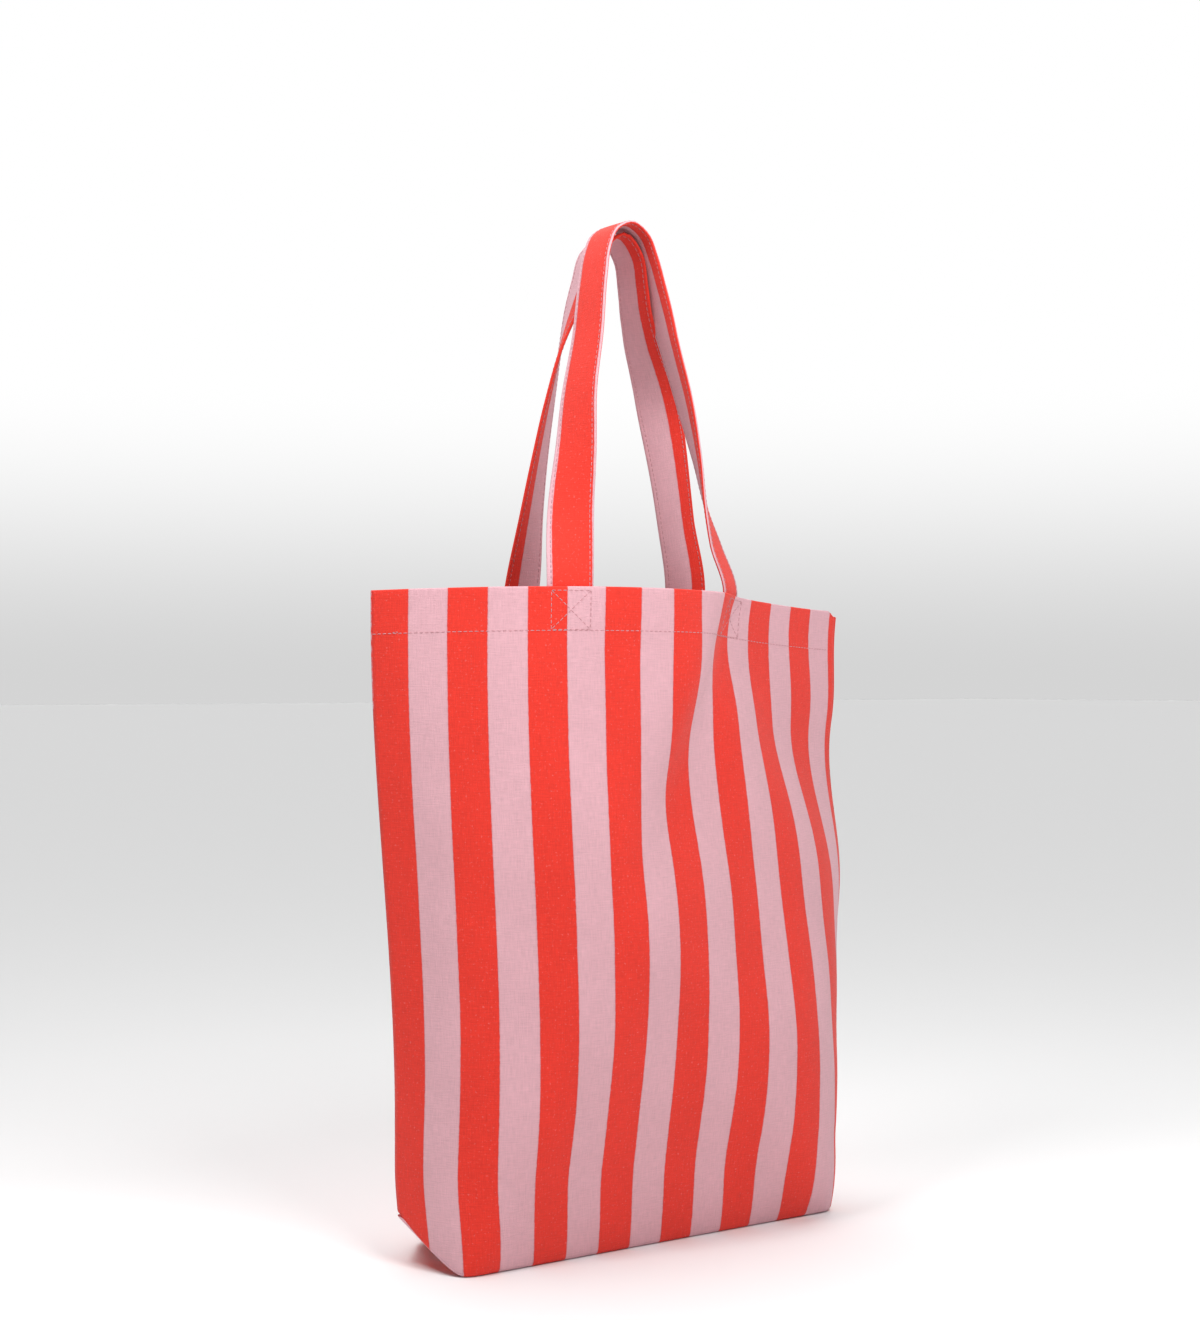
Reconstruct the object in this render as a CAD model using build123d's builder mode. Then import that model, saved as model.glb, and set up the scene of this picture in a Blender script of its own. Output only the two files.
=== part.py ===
"""Canvas tote bag: two panels on a boxed base, a turned-in hem and two long strap handles."""

import os
from dataclasses import dataclass
from math import asin, atan2, cos, degrees, radians, sin, tan

from build123d import *

# Canvas, sewing thread and the air left between sewn layers
cloth = 0.8
ply_gap = 0.2
thread = 0.5
thread_gap = 0.1

# Body, standing on its boxed base
height = 415
base_length = 300
base_depth = 100
base_edge = 5
base_corner = 12
side_bow = 2
heel_height = 7
belly_height = 110
shoulder_height = 260
seam_lean = 1.0

# Hem, seam allowances and stitching
hem_depth = 30
hem_stitch_drop = 28.5
stitch_width = 0.7
seam_allowance = 10
seam_end_gap = 1

# Handles: straps sewn inside the hem, with a boxed cross of stitches on each end
strap_width = 29.5
strap_thickness = 2.4
strap_tuck = 27
strap_start = 0.3
box_stitch_width = 25
box_stitch_height = 24
box_stitch_drop = 2
front_rise = 240
back_rise = 231
front_strap_left = -75
front_strap_right = 58
back_strap_left = -49.5
back_strap_right = 80
strap_stretches = 8
stretch_steps = 6

os.makedirs("parts", exist_ok=True)


@dataclass
class Level:
    """Outline of the bag at one height: seam ends, corners with their radii and the middle of each run."""

    height: float
    left_seam: float
    right_seam: float
    front_left: tuple
    front_middle: tuple
    front_right: tuple
    back_left: tuple
    back_middle: tuple
    back_right: tuple
    front_radii: tuple
    back_radii: tuple

    def seam_y(self):
        """Both side seams lie in one plane that leans back from the middle of the base."""
        return self.height * tan(radians(seam_lean))

    def seam_inset(self, seam_x, front_corner, back_corner):
        """How far inside the seam's outer edge there is room for the two plies of its allowance."""
        front_turn = atan2(abs(front_corner[1] - self.seam_y()), abs(front_corner[0] - seam_x))
        back_turn = atan2(abs(back_corner[1] - self.seam_y()), abs(back_corner[0] - seam_x))
        half = min(front_turn, back_turn)
        return (cloth + ply_gap) / sin(half) + cloth / tan(half)


def base_level(level_height, drawn_in):
    """Rectangle of the boxed base, drawn in all round."""
    x = base_length / 2 - drawn_in
    y = base_depth / 2 - drawn_in
    corner = base_corner
    return Level(
        height=level_height,
        left_seam=-x - side_bow,
        right_seam=x + side_bow,
        front_left=(-x, -y),
        front_middle=(0, -y - side_bow),
        front_right=(x, -y),
        back_left=(-x, y),
        back_middle=(0, y + side_bow),
        back_right=(x, y),
        front_radii=(corner, corner),
        back_radii=(corner, corner),
    )


foot = base_level(0, base_edge)
heel = base_level(heel_height, 0)
belly = Level(
    height=belly_height,
    left_seam=-161,
    right_seam=165,
    front_left=(-110, -72),
    front_middle=(8, -76),
    front_right=(128, -72),
    back_left=(-132, 66),
    back_middle=(0, 70),
    back_right=(132, 66),
    front_radii=(50, 35),
    back_radii=(35, 35),
)
shoulder = Level(
    height=shoulder_height,
    left_seam=-172,
    right_seam=182,
    front_left=(-112, -56),
    front_middle=(-10, -72),
    front_right=(148, -40),
    back_left=(-125, 57),
    back_middle=(0, 64),
    back_right=(128, 59),
    front_radii=(70, 45),
    back_radii=(45, 45),
)
rim = Level(
    height=height,
    left_seam=-180,
    right_seam=190,
    front_left=(-104, -42),
    front_middle=(-10, -73),
    front_right=(72, -46),
    back_left=(-120, 24),
    back_middle=(8, 42),
    back_right=(124, 25),
    front_radii=(70, 70),
    back_radii=(30, 30),
)
levels = [foot, heel, belly, shoulder, rim]
seam_plane = Plane(
    origin=(0, 0, 0),
    x_dir=(1, 0, 0),
    z_dir=(0, -cos(radians(seam_lean)), sin(radians(seam_lean))),
)


def bag_form(inset, floor=0):
    """Solid inside the surface that lies the inset behind the bag's outer face, from the floor up."""
    with BuildPart() as form:
        for level in levels:
            left = (level.left_seam, level.seam_y())
            right = (level.right_seam, level.seam_y())
            level_height = max(level.height, floor)
            with BuildSketch(Plane.XY.offset(level_height)) as outline:
                with BuildLine():
                    Line(left, level.front_left)
                    ThreePointArc(level.front_left, level.front_middle, level.front_right)
                    Line(level.front_right, right)
                    Line(right, level.back_right)
                    ThreePointArc(level.back_right, level.back_middle, level.back_left)
                    Line(level.back_left, left)
                make_face()
                if inset:
                    offset(amount=-inset, kind=Kind.INTERSECTION, mode=Mode.REPLACE)
                spots = (level.front_left, level.front_right, level.back_left, level.back_right)
                for spot, radius in zip(spots, level.front_radii + level.back_radii):
                    corner = outline.vertices().sort_by_distance((*spot, level_height))[0]
                    fillet(corner, radius - inset)
        loft(ruled=True)
    return form.part


def wrap(outer_inset, inner_inset, low, high):
    """Layer of the bag's wall between two insets, cut to a band of heights."""
    with BuildPart() as layer:
        add(bag_form(outer_inset))
        add(bag_form(inner_inset), mode=Mode.SUBTRACT)
        split(bisect_by=Plane.XY.offset(low), keep=Keep.TOP)
        if high < height:
            split(bisect_by=Plane.XY.offset(high), keep=Keep.BOTTOM)
    return layer.part


# Front and back panels: each is one wall, half of both sides and half of the base
bag_skin = bag_form(0)
bag_space = bag_form(cloth, floor=cloth)
with BuildPart() as front_panel:
    add(bag_skin)
    add(bag_space, mode=Mode.SUBTRACT)
    split(bisect_by=seam_plane, keep=Keep.TOP)
with BuildPart() as back_panel:
    add(bag_skin)
    add(bag_space, mode=Mode.SUBTRACT)
    split(bisect_by=seam_plane, keep=Keep.BOTTOM)

# Hems: the cloth turned in at the rim, lying behind each panel
hem_outer = cloth + ply_gap
hem_inner = hem_outer + cloth
hem_layer = wrap(hem_outer, hem_inner, height - hem_depth, height)
with BuildPart() as front_hem:
    add(hem_layer)
    split(bisect_by=seam_plane, keep=Keep.TOP)
with BuildPart() as back_hem:
    add(hem_layer)
    split(bisect_by=seam_plane, keep=Keep.BOTTOM)


def seam_strip(side, seam_name, front_name, back_name):
    """Two plies of a side seam's allowance, standing into the bag below the hem."""
    stations = [heel, belly, shoulder, rim]
    top = height - hem_depth - seam_end_gap
    edge = []
    for level in stations:
        seam_x = getattr(level, seam_name)
        inset = level.seam_inset(seam_x, getattr(level, front_name), getattr(level, back_name))
        edge.append((seam_x - side * inset, level.height))
    (x0, z0), (x1, z1) = edge[-2:]
    edge[-1] = (x0 + (x1 - x0) * (top - z0) / (z1 - z0), top)
    slope = cos(radians(seam_lean))
    outer = [(x, z / slope) for x, z in edge]
    inner = [(x - side * seam_allowance, z) for x, z in reversed(outer)]
    with BuildPart() as strip:
        with BuildSketch(seam_plane):
            with BuildLine():
                Polyline(*outer, *inner, close=True)
            make_face()
        extrude(amount=cloth, both=True)
    return strip


left_seam = seam_strip(-1, "left_seam", "front_left", "back_left")
right_seam = seam_strip(1, "right_seam", "front_right", "back_right")

# Base seams: the allowances of the boxed corners and of the seam along the middle, lying on the base
corner_seam_x = base_length / 2 - base_edge - cloth - ply_gap - seam_allowance / 2
corner_seam_length = base_depth - 2 * (base_edge + base_corner)
bottom_seam_length = 2 * (corner_seam_x - seam_allowance / 2 - ply_gap)
on_base = Plane.XY.offset(cloth)
with BuildPart() as left_corner_seam:
    with BuildSketch(on_base):
        with Locations((-corner_seam_x, 0)):
            Rectangle(seam_allowance, corner_seam_length)
    extrude(amount=2 * cloth)
with BuildPart() as right_corner_seam:
    with BuildSketch(on_base):
        with Locations((corner_seam_x, 0)):
            Rectangle(seam_allowance, corner_seam_length)
    extrude(amount=2 * cloth)
with BuildPart() as bottom_seam:
    with BuildSketch(on_base):
        with Locations((0, seam_allowance / 2)):
            Rectangle(bottom_seam_length, seam_allowance)
    extrude(amount=2 * cloth)

# Straps: where each one is sewn along the rim, seen from outside as a plane with x along the rim
strap_outer = hem_inner + ply_gap
strap_middle = strap_outer + strap_thickness / 2
strap_reach = 20
front_run = ThreePointArc(rim.front_left, rim.front_middle, rim.front_right)
back_run = ThreePointArc(rim.back_left, rim.back_middle, rim.back_right)


def strap_seat(run, strap_x, outward):
    """Plane on the outer edge of the rim under one strap; outward is -1 at the front and 1 at the back."""
    center = run.arc_center
    turn = -outward * asin((strap_x - center.X) / run.radius)
    spot = (strap_x, center.Y + outward * run.radius * cos(turn), height)
    return Plane(origin=spot, x_dir=(cos(turn), sin(turn), 0), z_dir=(0, 0, 1))


front_seats = [strap_seat(front_run, x, -1) for x in (front_strap_left, front_strap_right)]
back_seats = [strap_seat(back_run, x, 1) for x in (back_strap_left, back_strap_right)]

# Strap ends: the stretch of each handle that is sewn flat to the inside of the hem
strap_layer = wrap(strap_outer, strap_outer + strap_thickness, height - strap_tuck, height)


def strap_end(seat):
    """Sewn end of a strap, cut from the layer behind the hem."""
    with BuildPart() as end:
        add(strap_layer)
        with BuildSketch(seat):
            Rectangle(strap_width, strap_reach)
        extrude(amount=-strap_tuck, mode=Mode.INTERSECT)
    return end


front_left_end, front_right_end = [strap_end(seat) for seat in front_seats]
back_left_end, back_right_end = [strap_end(seat) for seat in back_seats]

# Handles: the free loops, as points along the middle of the strap from the left end to the right one.
# Each point has its place, its share of the rise and the direction that the strap's inner edge faces.
front_route = [
    (-69, -47, 0.22, -46),
    (-63, -43.5, 0.37, -64),
    (-58, -40, 0.52, -77),
    (-49, -36.5, 0.68, -84),
    (-42, -32, 0.83, -88),
    (-36.5, -28.5, 0.91, -90),
    (-28.5, -26, 0.97, -91),
    (-13, -24.5, 1.00, -92),
    (1, -24.5, 0.97, -93),
    (7, -25.5, 0.91, -94),
    (12.5, -28, 0.83, -96),
    (17.5, -31.5, 0.75, -98),
    (21, -34, 0.68, -102),
    (28.5, -37, 0.52, -107),
    (37.5, -40, 0.37, -118),
    (46, -43, 0.22, -131),
]
back_route = [
    (-49, 28, 0.23, 28),
    (-47, 21, 0.39, 39),
    (-45, 12, 0.55, 48),
    (-42, 4, 0.69, 60),
    (-37, -2, 0.80, 76),
    (-32, -6, 0.88, 84),
    (-25.5, -10, 0.95, 90),
    (-13, -13, 1.00, 92),
    (-1, -13, 0.95, 94),
    (4, -11.5, 0.87, 95),
    (8, -9.5, 0.79, 96),
    (12.5, -7, 0.75, 98),
    (18.5, -3, 0.71, 101),
    (27.5, 1.5, 0.65, 112),
    (35.5, 6, 0.60, 135),
    (43, 10.5, 0.54, 158),
    (54, 17, 0.39, 175),
    (66, 24.5, 0.23, 177),
]


def handle(seats, outward, rise, route):
    """Strap of constant width that rises from its two seats, turning its face as the route says."""
    start = height + strap_start
    first, last = [seat.from_local_coords((0, -outward * strap_middle, strap_start)) for seat in seats]
    spots = [first] + [Vector(x, y, start + share * rise) for x, y, share, _ in route] + [last]
    first_turn, last_turn = [degrees(atan2(seat.x_dir.Y, seat.x_dir.X)) for seat in seats]
    turns = [first_turn] + [turn for *_, turn in route] + [last_turn + outward * 180]
    path = Spline(*spots, tangents=((0, 0, 1), (0, 0, -1)))
    places = [0] + [path.param_at_point(spot) for spot in spots[1:-1]] + [1]
    with BuildPart() as loop:
        for stretch in range(strap_stretches):
            for step in range(stretch_steps + 1):
                place = (stretch + step / stretch_steps) / strap_stretches
                i = max(k for k in range(len(route) + 1) if places[k] <= place)
                part_way = (place - places[i]) / (places[i + 1] - places[i])
                turn = radians(turns[i] + (turns[i + 1] - turns[i]) * part_way)
                along = path % place
                across = Vector(cos(turn), sin(turn), 0)
                across = (across - along * across.dot(along)).normalized()
                with BuildSketch(Plane(origin=path @ place, x_dir=across, z_dir=along)):
                    Rectangle(strap_width, strap_thickness)
            loft(ruled=True)
    return loop


front_handle = handle(front_seats, -1, front_rise, front_route)
back_handle = handle(back_seats, 1, back_rise, back_route)

# Stitching on the outside: one row round the hem and a boxed cross over each strap end
thread_outer = -thread_gap - thread
hem_stitch_low = height - hem_stitch_drop - stitch_width / 2
hem_row = wrap(thread_outer, -thread_gap, hem_stitch_low, hem_stitch_low + stitch_width)
with BuildPart() as front_hem_stitching:
    add(hem_row)
    split(bisect_by=seam_plane, keep=Keep.TOP)
with BuildPart() as back_hem_stitching:
    add(hem_row)
    split(bisect_by=seam_plane, keep=Keep.BOTTOM)

box_low = height - box_stitch_drop - box_stitch_height
box_layer = wrap(thread_outer, -thread_gap, box_low, height - box_stitch_drop)
box_slope = degrees(atan2(box_stitch_height, box_stitch_width))
box_diagonal = (box_stitch_width**2 + box_stitch_height**2) ** 0.5 - 2 * stitch_width


def box_stitching(seats):
    """Boxed crosses of thread over two strap ends."""
    with BuildPart() as crosses:
        for seat in seats:
            middle = seat.from_local_coords((0, 0, -box_stitch_drop - box_stitch_height / 2))
            with BuildSketch(Plane(origin=middle, x_dir=seat.x_dir, z_dir=-seat.y_dir)):
                Rectangle(box_stitch_width, box_stitch_height)
                Rectangle(
                    box_stitch_width - 2 * stitch_width,
                    box_stitch_height - 2 * stitch_width,
                    mode=Mode.SUBTRACT,
                )
                for turn in (box_slope, -box_slope):
                    Rectangle(box_diagonal, stitch_width, rotation=turn)
        extrude(amount=strap_reach / 2, both=True)
        add(box_layer, mode=Mode.INTERSECT)
    return crosses


front_box_stitching = box_stitching(front_seats)
back_box_stitching = box_stitching(back_seats)

pieces = {
    "front_panel": front_panel,
    "back_panel": back_panel,
    "front_hem": front_hem,
    "back_hem": back_hem,
    "left_seam": left_seam,
    "right_seam": right_seam,
    "left_corner_seam": left_corner_seam,
    "right_corner_seam": right_corner_seam,
    "bottom_seam": bottom_seam,
    "front_handle": front_handle,
    "back_handle": back_handle,
    "front_handle_left_end": front_left_end,
    "front_handle_right_end": front_right_end,
    "back_handle_left_end": back_left_end,
    "back_handle_right_end": back_right_end,
    "front_hem_stitching": front_hem_stitching,
    "back_hem_stitching": back_hem_stitching,
    "front_box_stitching": front_box_stitching,
    "back_box_stitching": back_box_stitching,
}
for name, piece in pieces.items():
    piece.part.label = name
    export_step(piece.part, f"parts/{name}.step")
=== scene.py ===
"""Canvas tote bag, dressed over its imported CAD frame: striped cloth, hem, straps and stitching."""

from math import atan2, cos, degrees, pi, radians, sin

import bmesh
import bpy
import numpy as np
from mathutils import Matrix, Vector


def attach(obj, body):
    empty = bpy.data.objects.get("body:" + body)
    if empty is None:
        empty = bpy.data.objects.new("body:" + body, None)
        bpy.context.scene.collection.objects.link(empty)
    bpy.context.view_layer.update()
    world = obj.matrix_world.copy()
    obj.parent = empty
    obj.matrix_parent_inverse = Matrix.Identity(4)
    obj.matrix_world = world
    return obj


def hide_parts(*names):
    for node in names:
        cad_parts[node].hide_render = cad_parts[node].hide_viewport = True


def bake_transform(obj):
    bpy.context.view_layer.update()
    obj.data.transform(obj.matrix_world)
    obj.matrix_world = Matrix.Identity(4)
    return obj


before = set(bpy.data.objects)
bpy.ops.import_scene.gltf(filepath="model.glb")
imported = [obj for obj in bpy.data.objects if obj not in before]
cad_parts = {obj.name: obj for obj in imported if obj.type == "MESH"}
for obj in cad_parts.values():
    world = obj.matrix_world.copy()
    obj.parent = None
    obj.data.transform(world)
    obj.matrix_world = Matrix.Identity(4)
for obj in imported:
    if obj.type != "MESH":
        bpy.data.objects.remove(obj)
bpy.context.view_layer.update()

# Studio: a pale matt floor that runs up into a plain white room. A wide soft lamp hangs in front of
# the bag, a small one at its left, and the ceiling gives an even light from above.
bpy.ops.mesh.primitive_plane_add(size=60.0)
floor = bpy.context.object
floor.name = "studio_floor"
floor_paint = bpy.data.materials.new("pale_floor")
floor_paint.use_nodes = True
floor_shader = floor_paint.node_tree.nodes["Principled BSDF"]
floor_shader.inputs["Base Color"].default_value = (0.90, 0.90, 0.90, 1.0)
floor_shader.inputs["Roughness"].default_value = 0.9
floor_shader.inputs["Specular IOR Level"].default_value = 0.1
floor.data.materials.append(floor_paint)

scene = bpy.context.scene
scene.view_settings.view_transform = "Standard"
scene.view_settings.look = "None"
room = bpy.data.worlds.new("white_room")
room.use_nodes = True
room_nodes, room_links = room.node_tree.nodes, room.node_tree.links
room_direction = room_nodes.new("ShaderNodeTexCoord")
upwards = (0.0, 0.0, 1.0)
behind_bag = (0.574, 0.819, 0.0)


def room_range(direction, low, high, first, last):
    """Brightness that goes from first to last as the room is looked at along a direction."""
    along = room_nodes.new("ShaderNodeVectorMath")
    along.operation = "DOT_PRODUCT"
    along.inputs[1].default_value = direction
    room_links.new(room_direction.outputs["Generated"], along.inputs[0])
    fall = room_nodes.new("ShaderNodeMapRange")
    fall.interpolation_type = "SMOOTHSTEP"
    sockets = ("From Min", "From Max", "To Min", "To Max")
    for socket, value in zip(sockets, (low, high, first, last)):
        fall.inputs[socket].default_value = value
    room_links.new(along.outputs["Value"], fall.inputs["Value"])
    return fall.outputs["Result"]


def room_product(first, second):
    """Product of two brightnesses."""
    product = room_nodes.new("ShaderNodeMath")
    product.operation = "MULTIPLY"
    room_links.new(first, product.inputs[0])
    room_links.new(second, product.inputs[1])
    return product.outputs["Value"]


room_rise = room_range(upwards, low=0.0, high=0.13, first=0.66, last=1.0)
room_ceiling = room_range(upwards, low=0.30, high=0.42, first=1.0, last=0.25)
room_backdrop = room_range(behind_bag, low=0.62, high=0.86, first=0.40, last=1.0)
room_light = room_product(room_product(room_rise, room_ceiling), room_backdrop)
room_links.new(room_light, room_nodes["Background"].inputs["Strength"])
room_nodes["Background"].inputs["Color"].default_value = (1.0, 1.0, 1.0, 1.0)
scene.world = room


def hang(lamp, direction):
    """Puts a lamp in the studio, turned to shine along a direction."""
    holder = bpy.data.objects.new(lamp.name, lamp)
    scene.collection.objects.link(holder)
    holder.rotation_euler = Vector(direction).to_track_quat("-Z", "Y").to_euler()
    return holder


def area_light(name, place, aim, size, power):
    """Soft rectangular lamp at a place, turned to its aim."""
    lamp = bpy.data.lights.new(name, "AREA")
    lamp.shape = "RECTANGLE"
    lamp.size, lamp.size_y = size
    lamp.energy = power
    hang(lamp, Vector(aim) - Vector(place)).location = place


area_light("key_light", (-0.08, -0.74, 1.05), aim=(0.0, 0.0, 0.35), size=(0.5, 0.4), power=7.2)
area_light("side_light", (-0.62, -0.16, 1.2), aim=(0.0, 0.0, 0.5), size=(0.25, 0.25), power=4.2)
ceiling_light = bpy.data.lights.new("ceiling_light", "SUN")
ceiling_light.energy = 2.0
ceiling_light.angle = radians(60)
hang(ceiling_light, (-0.1, -0.35, -1.0))

# Camera: level, 360 mm above the floor and 35 degrees to the left of the bag's front. Its lens and
# its small shift frame the bag in a picture 1320 pixels high.
camera_height = 0.36
camera_turn = radians(35)
camera_back = 1.47
camera_side = 0.0115
sensor_height = 24.0
picture_height, focal_pixels, shift_pixels = 1320, 2242, 20
camera = bpy.data.objects.new("photo_camera", bpy.data.cameras.new("photo_camera"))
scene.collection.objects.link(camera)
camera.location = (
    -camera_back * sin(camera_turn) - camera_side * cos(camera_turn),
    -camera_back * cos(camera_turn) + camera_side * sin(camera_turn),
    camera_height,
)
camera.rotation_euler = (pi / 2, 0.0, -camera_turn)
camera.data.sensor_fit = "VERTICAL"
camera.data.sensor_height = sensor_height
camera.data.lens = sensor_height * focal_pixels / picture_height
camera.data.shift_y = shift_pixels / picture_height
scene.camera = camera

# Canvas: plain-weave cotton with slubs and pale flecks in its yarn. Even red and pink stripes run
# up the cloth, with a thin darker line where two of them meet.
MM = 0.001
stripe = 24.5
stripe_waver = 0.7
red = (0.80, 0.038, 0.022)
pink = (0.72, 0.405, 0.452)
meeting_red = (0.46, 0.06, 0.06)
pale_fleck = (0.86, 0.62, 0.62)
meeting_sharpness = 55.0
warp_pitch, weft_pitch = 0.62, 0.70
meeting_shade, slub_shade, weave_shade, fade_shade, fleck_shade = 0.30, 0.26, 0.035, 0.16, 0.12
slub_relief, weave_relief, relief_depth = 2.0, 0.35, 0.3


def canvas(name, first_edge=0.0):
    """Striped canvas; its UVs run across and along the stripes, in metres, from the first edge."""
    paint = bpy.data.materials.new(name)
    paint.use_nodes = True
    nodes, links = paint.node_tree.nodes, paint.node_tree.links
    shader = nodes["Principled BSDF"]
    shader.inputs["Roughness"].default_value = 0.88
    shader.inputs["Specular IOR Level"].default_value = 0.18
    shader.inputs["Sheen Weight"].default_value = 0.12
    shader.inputs["Sheen Roughness"].default_value = 0.6
    place = nodes.new("ShaderNodeUVMap")
    place.uv_map = "cloth"
    split = nodes.new("ShaderNodeSeparateXYZ")
    links.new(place.outputs["UV"], split.inputs["Vector"])

    def feed(socket, value):
        """Sets a socket to a colour or a number, or links it."""
        if isinstance(value, tuple):
            socket.default_value = (*value, 1.0)
        elif isinstance(value, (int, float)):
            socket.default_value = value
        else:
            links.new(value, socket)

    def math(operation, *values):
        """Result of a sum on numbers and sockets."""
        node = nodes.new("ShaderNodeMath")
        node.operation = operation
        for socket, value in zip(node.inputs, values):
            feed(socket, value)
        return node.outputs["Value"]

    def noise(across, along, detail):
        """Unevenness with so many spots to the metre across and along the cloth."""
        stretched = nodes.new("ShaderNodeMapping")
        stretched.inputs["Scale"].default_value = (across, along, 1)
        links.new(place.outputs["UV"], stretched.inputs["Vector"])
        texture = nodes.new("ShaderNodeTexNoise")
        texture.inputs["Scale"].default_value = 1.0
        texture.inputs["Detail"].default_value = detail
        links.new(stretched.outputs["Vector"], texture.inputs["Vector"])
        return texture.outputs["Fac"]

    def share_between(low, high, value, kind="LINEAR"):
        """0 where a value is below low, 1 where it is above high."""
        node = nodes.new("ShaderNodeMapRange")
        node.interpolation_type = kind
        node.inputs["From Min"].default_value = low
        node.inputs["From Max"].default_value = high
        links.new(value, node.inputs["Value"])
        return node.outputs["Result"]

    def colour_mix(share, first, second, blend="MIX"):
        """Two colours mixed by the share of the second."""
        node = nodes.new("ShaderNodeMix")
        node.data_type = "RGBA"
        node.blend_type = blend
        feed(node.inputs["Factor"], share)
        feed(node.inputs[6], first)
        feed(node.inputs[7], second)
        return node.outputs[2]

    waver = math("MULTIPLY", math("SUBTRACT", noise(900, 260, 2), 0.5), stripe_waver * MM)
    across = math("ADD", math("SUBTRACT", split.outputs["X"], first_edge * MM), waver)
    phase = math("FRACT", math("DIVIDE", across, 2 * stripe * MM))
    wave = math("PINGPONG", math("ADD", phase, 0.25), 0.5)
    from_meeting = math("ABSOLUTE", math("SUBTRACT", wave, 0.25))
    meeting = math("SUBTRACT", 1.0, math("MULTIPLY", from_meeting, meeting_sharpness))
    meeting = math("MAXIMUM", meeting, 0.0)
    dyed = colour_mix(share_between(0.247, 0.253, wave, "SMOOTHSTEP"), pink, red)
    dyed = colour_mix(math("MULTIPLY", meeting, meeting_shade), dyed, meeting_red)

    warp = math("SINE", math("MULTIPLY", split.outputs["X"], 2 * pi / (warp_pitch * MM)))
    weft = math("SINE", math("MULTIPLY", split.outputs["Y"], 2 * pi / (weft_pitch * MM)))
    weave = math("MULTIPLY", warp, weft)
    slub = math("SUBTRACT", math("ADD", noise(1500, 110, 2), noise(130, 1300, 2)), 1.0)
    fade = math("SUBTRACT", noise(22, 15, 3), 0.5)
    fleck = share_between(0.63, 0.78, noise(620, 620, 1))
    tone = math("ADD", math("MULTIPLY", slub, slub_shade), math("MULTIPLY", weave, weave_shade))
    tone = math("ADD", math("ADD", tone, math("MULTIPLY", fade, fade_shade)), 1.0)
    shade = nodes.new("ShaderNodeCombineColor")
    for socket in shade.inputs[:3]:
        links.new(tone, socket)
    woven = colour_mix(1.0, dyed, shade.outputs["Color"], "MULTIPLY")
    woven = colour_mix(math("MULTIPLY", fleck, fleck_shade), woven, pale_fleck)
    links.new(woven, shader.inputs["Base Color"])

    relief = math("ADD", math("MULTIPLY", weave, weave_relief), math("MULTIPLY", slub, slub_relief))
    bump = nodes.new("ShaderNodeBump")
    bump.inputs["Strength"].default_value = 0.35
    bump.inputs["Distance"].default_value = relief_depth * MM
    links.new(relief, bump.inputs["Height"])
    links.new(bump.outputs["Normal"], shader.inputs["Normal"])
    return paint


body_canvas = canvas("striped_canvas")

# Form of the cloth: each level of a panel is laid out along the cloth from the left seam to the
# right one, by the direction that it faces at each stripe. The two bends are the corners of the
# base, which open out towards the rim. Two soft creases fan out from the front handle's right end.
height = 415
panel_width = 400
side_cloth = 50
left_seam_lift, right_seam_lift, lift_curve = 31, 14, 1.4
lift_reach = {"front": side_cloth, "back": 1.8 * side_cloth}
ripple_seed = {"front": 0.6, "back": 2.9}
soft_ripple, fine_ripple, ripple_margin = 0.9, 0.35, 40
form_rows, form_columns, form_steps = 167, 201, 321
rim_crown, rim_crown_reach = 2.5, 300
rim_sink, rim_sink_from = 7, 230
rim_corner_drop, rim_corner_reach = 4.5, 10
seam_foot, seam_lean, seam_lean_levels = -163, 17, (90, 400)
seam_back, seam_back_levels = 8, (0, 60)

# Turns are in degrees, and places in stripes from the left seam: at the base, the middle and the
# rim. The bends of the front are squarer near the floor, and its wall heads a little inwards there.
front_left_turn = (73, 84, 101.8)
front_left_bend = ((1.5, -3.2, -10.1), (2.5, 8.6, 10.7))
front_right_turn = (80, 166, -41.5)
front_right_bend = ((13.4, 4.9, -3.2), (14.6, 31.1, 56.7))
front_sway, front_sway_places = (0, -19, 25.5), (7.5, 13)
square_below, square_from, square_to = 55, 0.2, -0.1
heading_below, heading_turn, heading_places = 70, 1.0, (1.5, 3)
back_left_turn, back_right_turn = (47, 42, 22), (80, 58, 28)
back_bend, back_left_delay = ((1.4, 0.4, 0.0), (2.8, 5.5, 9.5)), 0.6
back_swell_level, back_swell_spread = 120, 80
back_left_swell, back_right_swell = 9, 18
back_wave, back_wave_levels = 3, (150, 400)

# A crease has a turn, a place at the rim, the stripes that it leans by on its way down and a width.
# The cloth turns back in the hollow between the two.
creases = ((26, 10.7, -4.0, 0.76), (12.7, 8.65, 6.56, 1.77))
crease_length, crease_levels = 175, (203, 333)
hollow_turn, hollow_place, hollow_level = 11, 10.3, 330


def ease(low, high, value):
    """0 below low, 1 above high and smooth between."""
    share = np.clip((value - low) / (high - low), 0, 1)
    return share * share * (3 - 2 * share)


def through(share, foot, middle, top):
    """Smooth run of a value from the base over the middle of the height to the rim."""
    below, above = foot * (1 - share) * (1 - 2 * share), top * share * (2 * share - 1)
    return below + 4 * middle * share * (1 - share) + above


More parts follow.
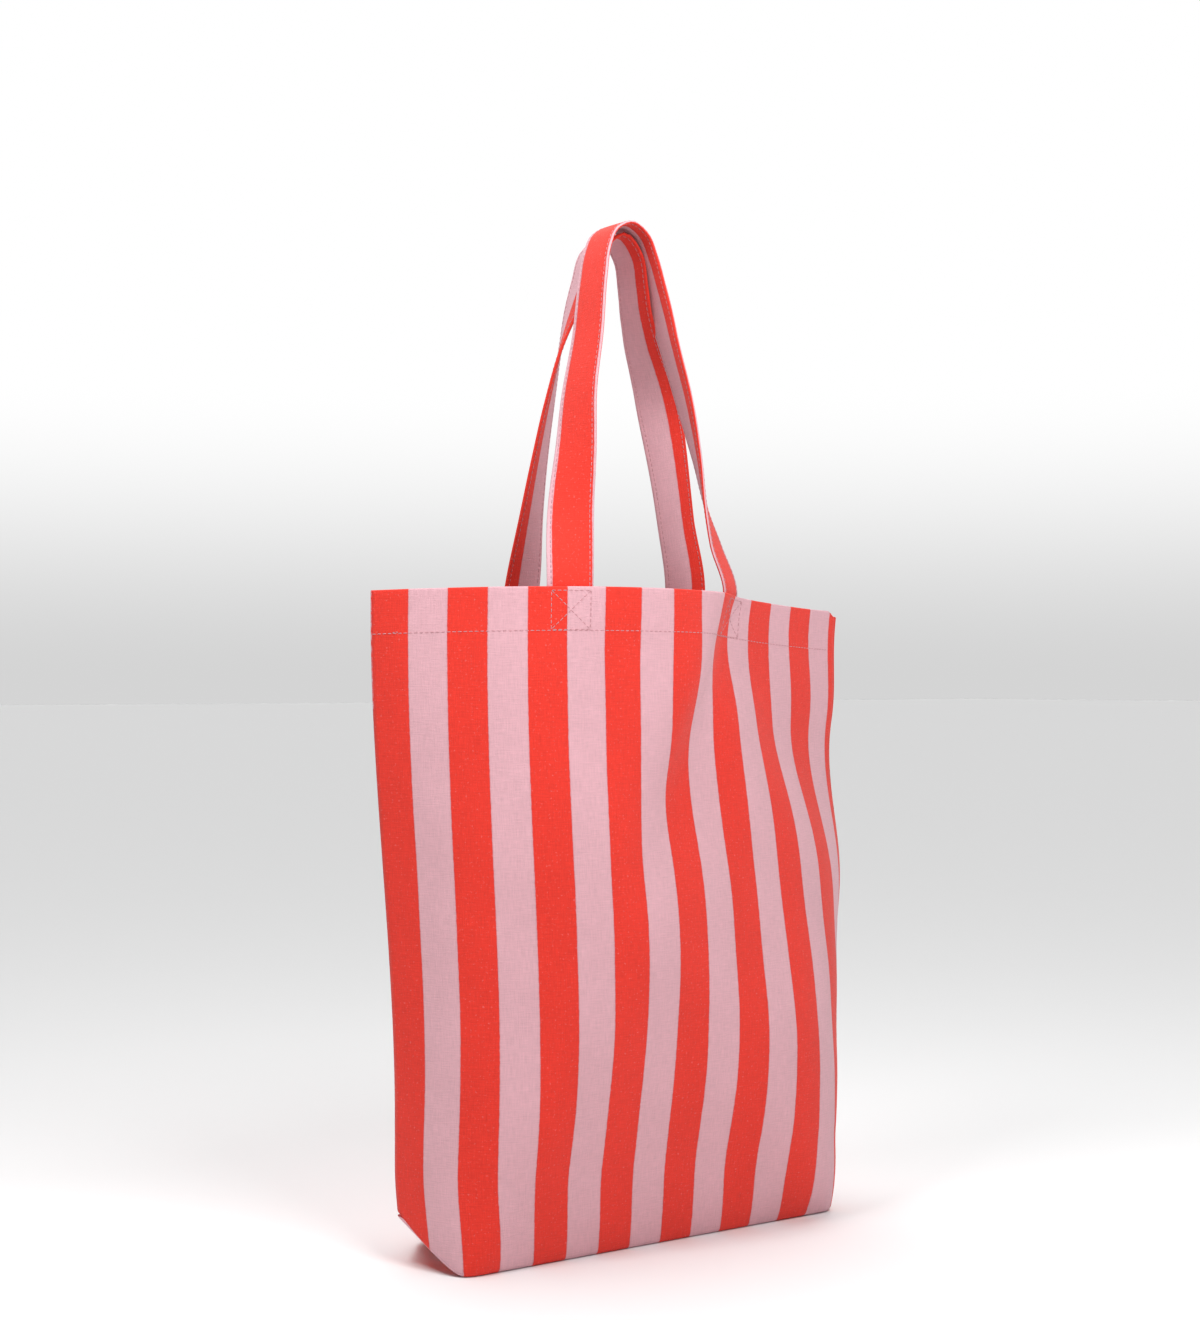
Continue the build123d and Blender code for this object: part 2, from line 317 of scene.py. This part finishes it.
def front_turn(stripes, z):
    """Direction of the front panel's cloth, in degrees from +X."""
    up = z / height
    left_from, left_to = (through(up, *run) for run in front_left_bend)
    right_from, right_to = (through(up, *run) for run in front_right_bend)
    square = 1 - ease(0, square_below, z)
    right_from, right_to = right_from + square_from * square, right_to + square_to * square
    turn = -through(up, *front_left_turn) * (1 - ease(left_from, left_to, stripes))
    turn = turn + through(up, *front_right_turn) * ease(right_from, right_to, stripes)
    turn = turn + through(up, *front_sway) * ease(*front_sway_places, stripes)
    turn = turn + heading_turn * (1 - ease(0, heading_below, z)) * ease(*heading_places, stripes)
    drop = (height - z) / crease_length
    reach = ease(*crease_levels, z)
    for bend, place, lean, width in creases:
        turn = turn + bend * reach * np.exp(-(((stripes - place - lean * drop) / width) ** 2))
    hollow = reach * ease(height, hollow_level, z)
    return turn - hollow_turn * hollow * np.exp(-((stripes - hollow_place) ** 2))


def back_turn(stripes, z):
    """Direction of the back panel's cloth, in degrees from +X."""
    up = z / height
    swell = np.exp(-(((z - back_swell_level) / back_swell_spread) ** 2))
    left = through(up, *back_left_turn) + back_left_swell * swell
    right = through(up, *back_right_turn) + back_right_swell * swell
    near, far = (through(up, *run) for run in back_bend)
    last = panel_width / stripe
    turn = left * (1 - ease(near + back_left_delay, far, stripes))
    turn = turn - right * ease(last - far, last - near, stripes)
    wave = back_wave * ease(*back_wave_levels, z)
    return turn + wave * np.sin(stripes * 1.15 + 0.8 + z * 0.004)


def seam_start(z):
    """Place of the left seam, which leans out to the left on its way up."""
    x = seam_foot - seam_lean * ease(*seam_lean_levels, z)
    return x, seam_back * ease(*seam_back_levels, z)


def lay_out(turn, z, us):
    """Plan positions and directions along the cloth at one height."""
    fine = np.linspace(0, panel_width, form_steps)
    angle = np.radians(turn(fine / stripe, z))
    step = fine[1] - fine[0]
    runs = []
    for start, heading in zip(seam_start(z), (np.cos(angle), np.sin(angle))):
        run = start + np.concatenate([[0], np.cumsum((heading[1:] + heading[:-1]) / 2 * step)])
        runs.append(np.interp(us, fine, run))
    return *runs, np.interp(us, fine, angle)


def ripple(u, z, seed):
    """Small unevenness of cloth that has been folded and handled, in mm."""
    soft = soft_ripple * np.sin(u / 31 + 1.7 * np.sin(z / 57 + seed) + seed)
    soft = soft * np.sin(z / 43 + 0.9 * np.sin(u / 61) + seed * 2)
    fine = fine_ripple * np.sin(u / 13.7 + z / 29 + seed) * np.sin(z / 17.3 - u / 47 + seed)
    sides = ease(0, ripple_margin, u) * ease(panel_width, panel_width - ripple_margin, u)
    return (soft + fine) * sides * ease(4, ripple_margin, z) * ease(412, 370, z)


def rim_height(u):
    """The rim rises at the front handle, sinks towards the right seam and is rounded there."""
    crown = rim_crown * np.sin(np.clip(u / rim_crown_reach, 0, 1) * pi)
    rim = height + crown - rim_sink * ease(rim_sink_from, panel_width, u)
    return rim - rim_corner_drop * ease(panel_width - rim_corner_reach, panel_width, u)


def foot_height(face, u):
    """The lower edge is on the floor along the panel and rises to the seams at both sides."""
    left = np.clip(1 - u / lift_reach[face], 0, 1)
    right = np.clip(1 - (panel_width - u) / side_cloth, 0, 1)
    return left_seam_lift * left**lift_curve + right_seam_lift * right**lift_curve


def panel_form(face):
    """Plan positions and inward directions of a panel, by height and place along the cloth."""
    us = np.linspace(0, panel_width, form_columns)
    rows = []
    for z in np.linspace(0, height, form_rows):
        x, y, angle = lay_out(front_turn, z, us)
        if face == "back":
            left, right = complex(x[0], y[0]), complex(x[-1], y[-1])
            x, y, angle = lay_out(back_turn, z, us)
            run = x + 1j * y - left
            fit = (right - left) / run[-1]
            run, angle = left + run * fit, angle + np.angle(fit) + pi
            x, y = run.real, run.imag
        rows.append(np.stack([x, y, -np.sin(angle), np.cos(angle)], -1))
    return np.array(rows)


forms = {face: panel_form(face) for face in ("front", "back")}


def panel_points(face, us, zs, inset=0.0):
    """Points of a panel in mm at places along the cloth and heights, moved inwards by the inset."""
    us, zs, inset = np.broadcast_arrays(*(np.asarray(a, float) for a in (us, zs, inset)))
    form = forms[face]
    row = np.clip(zs / height, 0, 1) * (form_rows - 1)
    column = np.clip(us / panel_width, 0, 1) * (form_columns - 1)
    i = np.minimum(row.astype(int), form_rows - 2)
    j = np.minimum(column.astype(int), form_columns - 2)
    f, g = (row - i)[..., None], (column - j)[..., None]
    below = form[i, j] * (1 - g) + form[i, j + 1] * g
    above = form[i + 1, j] * (1 - g) + form[i + 1, j + 1] * g
    found = below * (1 - f) + above * f
    depth = inset - ripple(us, zs, ripple_seed[face])
    plan = found[..., :2] + found[..., 2:] * depth[..., None]
    return np.concatenate([plan, zs[..., None]], -1)


# Front and back panels: each is one piece of canvas, a wall with half of both sides and half of the
# base. They are sewn together at the sides, along the middle of the base and across its corners.
cloth = 0.8
rim_roll = 1.1
foot_roll = 3.0
column_gap, row_gap = 3.2, 3.4
columns = int(panel_width / column_gap) + 1
base_rows = 12
base_thickness = 1.2
base_rise = 0.16
weld = 0.02


def mesh_object(name, mesh, paint):
    """Object of a finished mesh, with its material."""
    data = bpy.data.meshes.new(name)
    mesh.to_mesh(data)
    mesh.free()
    data.materials.append(paint)
    piece = bpy.data.objects.new(name, data)
    scene.collection.objects.link(piece)
    return piece


def cloth_object(name, patches, paint):
    """Mesh of grids of points, each with its place on the flat cloth, joined where they meet."""
    mesh = bmesh.new()
    layer = mesh.loops.layers.uv.new("cloth")
    for points, flat in patches:
        rows, across = points.shape[:2]
        verts = [[mesh.verts.new(point * MM) for point in row] for row in points]
        for r in range(rows - 1):
            for c in range(across - 1):
                corners = ((r, c), (r, c + 1), (r + 1, c + 1), (r + 1, c))
                face = mesh.faces.new([verts[a][b] for a, b in corners])
                face.smooth = True
                for loop, corner in zip(face.loops, corners):
                    loop[layer].uv = flat[corner] * MM
    bmesh.ops.remove_doubles(mesh, verts=mesh.verts, dist=weld * MM)
    return mesh_object(name, mesh, paint)


def thicken(piece, thickness, offset=-1.0):
    """Gives a sheet its thickness, away from its face or, at offset 0, on both sides."""
    ply = piece.modifiers.new("ply", "SOLIDIFY")
    ply.thickness = thickness * MM
    ply.offset = offset
    ply.use_even_offset = False


def base_middle(u):
    """Seam along the middle of the base, which rises to the side seams at its ends."""
    base_length = panel_width - 2 * side_cloth
    share = np.clip((u - side_cloth) / base_length, 0, 1)
    ends = panel_points("front", (0, panel_width), (left_seam_lift, right_seam_lift))
    line = ends[0] + (ends[1] - ends[0]) * share[:, None]
    left = np.clip(1 - share / base_rise, 0, 1) ** 2
    right = np.clip(1 - (1 - share) / base_rise, 0, 1) ** 2
    rise = (left_seam_lift - base_thickness) * left + (right_seam_lift - base_thickness) * right
    line[:, 2] = base_thickness + rise
    return line


def panel_patches(face):
    """Grids of one panel: its wall up to the crest of the rim, and its half of the base."""
    us = np.linspace(0, panel_width, columns)
    foot, rim = foot_height(face, us), rim_height(us) - rim_roll
    foot_bend, rim_bend = np.radians((90, 60, 30))[:, None], np.radians((30, 60, 90))[:, None]
    shares = np.linspace(0, 1, int(height / row_gap))[:, None]
    heights = np.concatenate([
        foot + foot_roll * (1 - np.sin(foot_bend)),
        foot + foot_roll + (rim - foot - foot_roll) * shares,
        rim + rim_roll * np.sin(rim_bend),
    ])
    insets = np.concatenate([
        foot_roll * (1 - np.cos(foot_bend)),
        np.zeros_like(shares),
        rim_roll * (1 - np.cos(rim_bend)),
    ])
    wall = panel_points(face, us, heights, insets)
    wall_flat = np.stack(np.broadcast_arrays(us, heights), -1)
    shares = np.linspace(1, 0, base_rows)[:, None]
    base = wall[0] * (1 - shares[..., None]) + base_middle(us) * shares[..., None]
    base_flat = np.stack(np.broadcast_arrays(us, heights[0] - shares * side_cloth), -1)
    if face == "back":
        wall, wall_flat, base, base_flat = (a[:, ::-1] for a in (wall, wall_flat, base, base_flat))
    return [(wall, wall_flat), (base, base_flat)]


for face in ("front", "back"):
    panel = cloth_object(f"{face}_panel_cloth", panel_patches(face), body_canvas)
    thicken(panel, cloth)
    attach(panel, "bag")
    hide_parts(f"{face}_panel")

# Hems: the cloth of the panels, turned in at the rim and sewn down inside. They end a little before
# the seams, where the walls close up.
hem_depth, hem_fold = 30, 2
hem_end = 7.0
hem_rows = 10
for face in ("front", "back"):
    us = np.linspace(hem_end, panel_width - hem_end, columns)
    rim = rim_height(us) - rim_roll
    bend = np.radians((90, 120, 150, 180))[:, None]
    drops = np.linspace(3, hem_depth, hem_rows)[:, None]
    heights = np.concatenate([rim + rim_roll * np.sin(bend), rim - drops])
    insets = np.concatenate([rim_roll * (1 - np.cos(bend)), np.full_like(drops, 2 * rim_roll)])
    points = panel_points(face, us, heights, insets)
    flat = np.stack(np.broadcast_arrays(us, 2 * height - heights), -1)
    if face == "back":
        points, flat = points[:, ::-1], flat[:, ::-1]
    hem = cloth_object(f"{face}_hem_cloth", [(points, flat)], body_canvas)
    thicken(hem, cloth)
    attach(hem, "bag")
    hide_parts(f"{face}_hem")

# Seam allowances: two plies of canvas left beside each line of sewing. They stand into the bag at
# the sides and lie on the base along its middle and across its corners.
allowance = 10.0
allowance_rows = 5
side_seam_inset, side_seam_rows = 7.0, 60
side_seam_low, side_seam_high = left_seam_lift + 8, height - hem_depth - 4
side_seam_aim = 40
base_seam_lift, base_seam_end, base_seam_rows = 2.0, 75, 50
corner_inset, corner_lift, corner_rows = 9.0, 4, 24
corner_place, corner_middle = 25, 80


def from_side(side, distance):
    """Place along the cloth at a distance from the left or the right seam."""
    return distance if side == "left" else panel_width - distance


def run_lengths(points):
    """Length along a line of points, up to each of them."""
    return np.concatenate([[0], np.cumsum(np.linalg.norm(np.diff(points, axis=0), axis=1))])


def unit(vectors):
    """Vectors of the same directions with a length of 1."""
    return vectors / np.linalg.norm(vectors, axis=1)[:, None]


def ribbon(name, edge, into, node):
    """Double ply of cloth from a seam line into the bag."""
    shares = np.linspace(0, allowance, allowance_rows)[:, None]
    points = edge + into * shares[..., None]
    along = run_lengths(edge)
    flat = np.stack(np.broadcast_arrays(shares, along), -1)
    piece = cloth_object(name, [(points, flat)], body_canvas)
    thicken(piece, 2 * cloth, offset=0.0)
    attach(piece, "bag")
    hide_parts(node)


for side in ("left", "right"):
    zs = np.linspace(side_seam_low, side_seam_high, side_seam_rows)
    edge = panel_points("front", from_side(side, 0), zs)
    near = from_side(side, side_seam_aim)
    inside = (panel_points("front", near, zs) + panel_points("back", near, zs)) / 2
    into = unit(inside - edge)
    ribbon(f"{side}_seam_cloth", edge + into * side_seam_inset, into, f"{side}_seam")

us = np.linspace(base_seam_end, panel_width - base_seam_end, base_seam_rows)
edge = base_middle(us) + np.array([0, 0, base_seam_lift])
ribbon("bottom_seam_cloth", edge, np.array([0.0, 1.0, 0.0]), "bottom_seam")

for side, inwards in (("left", 1.0), ("right", -1.0)):
    near = from_side(side, corner_place)
    front_corner, back_corner = (
        panel_points(face, near, foot_height(face, near) + foot_roll + corner_lift, corner_inset)
        for face in ("front", "back")
    )
    middle = base_middle(np.array([from_side(side, corner_middle)]))[0]
    middle = middle + np.array([0, 0, corner_inset])
    shares = np.linspace(0, 1, corner_rows)[:, None]
    edge = front_corner * (1 - shares) ** 2 + back_corner * shares**2
    edge = edge + 2 * middle * shares * (1 - shares)
    into = np.array([inwards, 0.0, 0.0])
    ribbon(f"{side}_corner_seam_cloth", edge, into, f"{side}_corner_seam")

# Hem stitching: one row of pale twisted thread round the bag, 27 mm below the rim. Each stitch is a
# short bar that dips into the cloth at both ends. A tail of thread is caught in the front row.
thread_radius = 0.24
stitch_length = 2.6
stitch_pitch = 3.4
stitch_section = ((1, 0), (0, 0.8), (-1, 0), (0, -0.8))
stitch_rings = ((0.0, -0.15, 0.55), (0.25, 0.12, 1.0), (0.75, 0.12, 1.0), (1.0, -0.15, 0.55))
hem_stitch_drop = 27.0
hem_stitch_start, hem_stitch_stop = 1.0, panel_width - 9.0
hem_stitch_run = 10 * stitch_pitch
thread_tail = ((14.5, 0.3), (16.5, 0.9), (18.6, 0.5))
thread_paint = bpy.data.materials.new("pale_thread")
thread_paint.use_nodes = True
thread_nodes, thread_links = thread_paint.node_tree.nodes, thread_paint.node_tree.links
thread_shader = thread_nodes["Principled BSDF"]
thread_shader.inputs["Roughness"].default_value = 0.7
thread_shader.inputs["Sheen Weight"].default_value = 0.2
twist = thread_nodes.new("ShaderNodeTexNoise")
twist.inputs["Scale"].default_value = 900.0
thread_place = thread_nodes.new("ShaderNodeTexCoord")
thread_links.new(thread_place.outputs["Object"], twist.inputs["Vector"])
thread_tone = thread_nodes.new("ShaderNodeMix")
thread_tone.data_type = "RGBA"
thread_tone.inputs[6].default_value = (0.44, 0.17, 0.20, 1.0)
thread_tone.inputs[7].default_value = (0.70, 0.38, 0.41, 1.0)
thread_links.new(twist.outputs["Fac"], thread_tone.inputs["Factor"])
thread_links.new(thread_tone.outputs[2], thread_shader.inputs["Base Color"])


def stitch_object(name, stitches):
    """One mesh of stitches, each from a start to an end with the direction that it faces, in mm."""
    mesh = bmesh.new()
    for start, end, up in stitches:
        side = np.cross((end - start) / np.linalg.norm(end - start), up)
        rings = []
        for share, lift, size in stitch_rings:
            middle = start + (end - start) * share + up * lift
            radius = thread_radius * size
            ring = [middle + radius * (side * a + up * b) for a, b in stitch_section]
            rings.append([mesh.verts.new(point * MM) for point in ring])
        for first, second in zip(rings, rings[1:]):
            for k in range(4):
                mesh.faces.new((first[k - 1], first[k], second[k], second[k - 1]))
        mesh.faces.new(rings[0][::-1])
        mesh.faces.new(rings[-1])
    bmesh.ops.recalc_face_normals(mesh, faces=mesh.faces)
    for face in mesh.faces:
        face.smooth = True
    return mesh_object(name, mesh, thread_paint)


def on_panel(face, place):
    """Point just outside a panel and the direction that it faces."""
    near, out = panel_points(face, *place, (-0.05, -1.05))
    return near, out - near


def stitch_line(face, start, end):
    """Stitches between two places on a panel, each a place along the cloth and a height."""
    start, end = np.array(start), np.array(end)
    count = max(1, round(np.linalg.norm(end - start) / stitch_pitch))
    stitches = []
    for k in range(count):
        first, up = on_panel(face, start + (end - start) * k / count)
        share = (k + stitch_length / stitch_pitch) / count
        last, _ = on_panel(face, start + (end - start) * share)
        stitches.append((first, last, up))
    return stitches


def hem_place(u, rise=0.0):
    """Place on the row of hem stitches, or a little above it."""
    return u, rim_height(u) - hem_stitch_drop + rise


for face in ("front", "back"):
    row = []
    for u in np.arange(hem_stitch_start, hem_stitch_stop, hem_stitch_run):
        row += stitch_line(face, hem_place(u), hem_place(min(u + hem_stitch_run, hem_stitch_stop)))
    if face == "front":
        for start, end in zip(thread_tail, thread_tail[1:]):
            row += stitch_line(face, hem_place(*start), hem_place(*end))
    piece = stitch_object(f"{face}_hem_thread", row)
    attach(piece, "bag")
    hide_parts(f"{face}_hem_stitching")

# Handles: two straps of the same canvas, folded double with the fold at the outer edge and
# top-stitched along both edges. Their ends are sewn inside the hem; above it they rise, twist and
# lean on each other. Each stop of a route is a point and the heading of the strap's width there.
strap_width = 29.5
strap_half = 1.15
strap_gap = 0.35
strap_tuck = 27.0
strap_bend = 45.0
strap_step, strap_end_steps, strap_bend_steps = 4.0, 8, 31
strap_drops = np.array([strap_tuck, 14, 1])
fold_ease = 0.6
top_stitch_place, top_stitch_depth = 12.2, 0.95
seat_reach = 4
back_seats = (-49.5, 80)
back_cloth = np.linspace(0, panel_width, form_columns)
back_places = panel_points("back", back_cloth, rim_height(back_cloth))[:, 0]
strap_seats = {
    "front": (5.1 * stripe, 11.0 * stripe),
    "back": tuple(np.interp(back_seats, back_places, back_cloth)),
}
strap_first_edge = {"front": 4.0, "back": -10.5}
strap_routes = {
    "front": [
        (-69, -47, 468, -46), (-63, -43.5, 504, -64), (-58, -40, 540, -77),
        (-49, -36.5, 578.5, -84), (-42, -32, 614.5, -88), (-36.5, -28.5, 632.5, -90),
        (-28.5, -26, 646, -91), (-14, -24.5, 652, -92), (-2, -24.5, 645, -93), (4, -25.5, 632, -94),
        (9, -28, 613.5, -96), (13, -31.5, 594, -98), (16.5, -34, 577.5, -102), (27, -37, 540, -107),
        (35, -40, 504, -118), (41, -43, 468, -131), (45.5, -46, 448, -141),
    ],
    "back": [
        (-49, 28, 468.4, 28), (-47, 21, 505.4, 39), (-45, 12, 542.4, 48), (-42, 4, 574.7, 60),
        (-37, -2, 600, 76), (-32, -6, 618.6, 84), (-25, -9, 638, 90), (-13, -13, 646.3, 92),
        (-1, -13, 634.8, 94), (4, -11.5, 616.3, 95), (8, -9.5, 599, 97), (12.5, -7, 588.6, 100),
        (18.5, -3, 578, 106), (26.5, 1.5, 566, 117), (34.5, 6, 553, 131), (42, 10.5, 538, 147),
        (54, 17, 505.4, 169), (66, 24.5, 468.4, 177),
    ],
}
strap_profile = np.array([
    (-14.75, 0.0), (-14.62, 0.52), (-14.1, 0.92), (-13.3, 1.06), (-12.2, 0.86), (-11.0, 1.06),
    (-7.0, 1.16), (0.0, 1.2), (7.0, 1.16), (11.0, 1.06), (12.2, 0.86), (13.3, 1.06), (14.1, 0.92),
    (14.62, 0.52), (14.75, 0.0),
])


def smooth_run(values, places, wanted):
    """Smooth curve through values at their places."""
    slopes = np.gradient(values, places, axis=0)
    k = np.clip(np.searchsorted(places, wanted) - 1, 0, len(places) - 2)
    span = (places[k + 1] - places[k])[:, None]
    t = (wanted - places[k])[:, None] / span
    return (
        values[k] * (2 * t**3 - 3 * t**2 + 1) + values[k + 1] * (3 * t**2 - 2 * t**3)
        + slopes[k] * span * (t**3 - 2 * t**2 + t) + slopes[k + 1] * span * (t**3 - t**2)
    )


def strap_line(face):
    """Lengths along a strap, its middle line and the directions across it and out of its face."""
    outward = -1 if face == "front" else 1
    inset = 2 * rim_roll + strap_gap + strap_half
    ends = []
    for u, flip in zip(strap_seats[face], (0, outward * 180)):
        top = rim_height(u)
        points = panel_points(face, u, top - strap_drops, inset)
        before, after = panel_points(face, (u - seat_reach, u + seat_reach), top)
        turn = degrees(atan2(after[1] - before[1], after[0] - before[0])) + flip
        ends.append([(*point, turn) for point in points])
    stops = np.array(ends[0] + strap_routes[face] + ends[1][::-1], float)
    places = run_lengths(stops[:, :3])
    whole, bend = places[-1], strap_tuck + strap_bend
    lengths = np.concatenate([
        np.linspace(0, strap_tuck, strap_end_steps)[:-1],
        np.linspace(strap_tuck, bend, strap_bend_steps)[:-1],
        np.arange(bend, whole - bend - strap_step / 2, strap_step),
        np.linspace(whole - bend, whole - strap_tuck, strap_bend_steps)[:-1],
        np.linspace(whole - strap_tuck, whole, strap_end_steps),
    ])
    run = smooth_run(stops, places, lengths)
    middle, turns = run[:, :3], np.radians(run[:, 3])
    along = unit(np.gradient(middle, lengths, axis=0))
    across = np.stack([np.cos(turns), np.sin(turns), np.zeros_like(turns)], -1)
    across = unit(across - along * np.sum(across * along, axis=1)[:, None])
    return lengths, middle, across, -outward * np.cross(across, along)


for face in ("front", "back"):
    lengths, middle, across, out = strap_line(face)
    around = run_lengths(strap_profile)
    around *= (strap_width + fold_ease) / around[-1]
    patches = []
    for side in (1, -1):
        wide, deep = across[:, None] * strap_profile[:, :1], out[:, None] * strap_profile[:, 1:]
        points = middle[:, None] + wide + deep * side
        flat = np.stack(np.broadcast_arrays(side * around, lengths[:, None]), -1)
        if (side == 1) == (face == "front"):
            points, flat = points[:, ::-1], flat[:, ::-1]
        patches.append((points, flat))
    paint = canvas(f"{face}_strap_canvas", strap_first_edge[face])
    strap = cloth_object(f"{face}_handle_strap", patches, paint)
    rim = float(rim_height(strap_seats[face][0]))
    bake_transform(strap)
    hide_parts(f"{face}_handle", f"{face}_handle_left_end", f"{face}_handle_right_end")

    # Top-stitching along both edges of the strap, on both of its faces.
    rows = []
    starts = (np.arange(int(lengths[-1] / stitch_pitch)) + 0.1) * stitch_pitch
    starts = starts[starts + stitch_length < lengths[-1]]
    for edge in (-top_stitch_place, top_stitch_place):
        for side in (1, -1):
            for start in starts:
                here = (start, start + stitch_length)
                line, wide, up = (
                    np.stack([np.interp(here, lengths, part) for part in run.T], -1)
                    for run in (middle, across, out * side)
                )
                first, last = line + wide * edge + up * top_stitch_depth
                rows.append((first, last, unit(up)[0]))
    thread = stitch_object(f"{face}_strap_thread", rows)
    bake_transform(thread)

# Boxed crosses: the same thread, sewn through the panel, the hem and the strap at each sewn end, as
# a box with both of its diagonals.
box_width, box_height, box_drop = 25.0, 24.0, 2.5
for face in ("front", "back"):
    crosses = []
    for u in strap_seats[face]:
        left, right = u - box_width / 2, u + box_width / 2
        left_top, right_top = rim_height(left) - box_drop, rim_height(right) - box_drop
        a, b = (left, left_top), (right, right_top)
        c, d = (right, right_top - box_height), (left, left_top - box_height)
        for start, end in ((a, b), (b, c), (c, d), (d, a), (a, c), (b, d)):
            crosses += stitch_line(face, start, end)
    piece = stitch_object(f"{face}_box_thread", crosses)
    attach(piece, "bag")
    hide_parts(f"{face}_box_stitching")
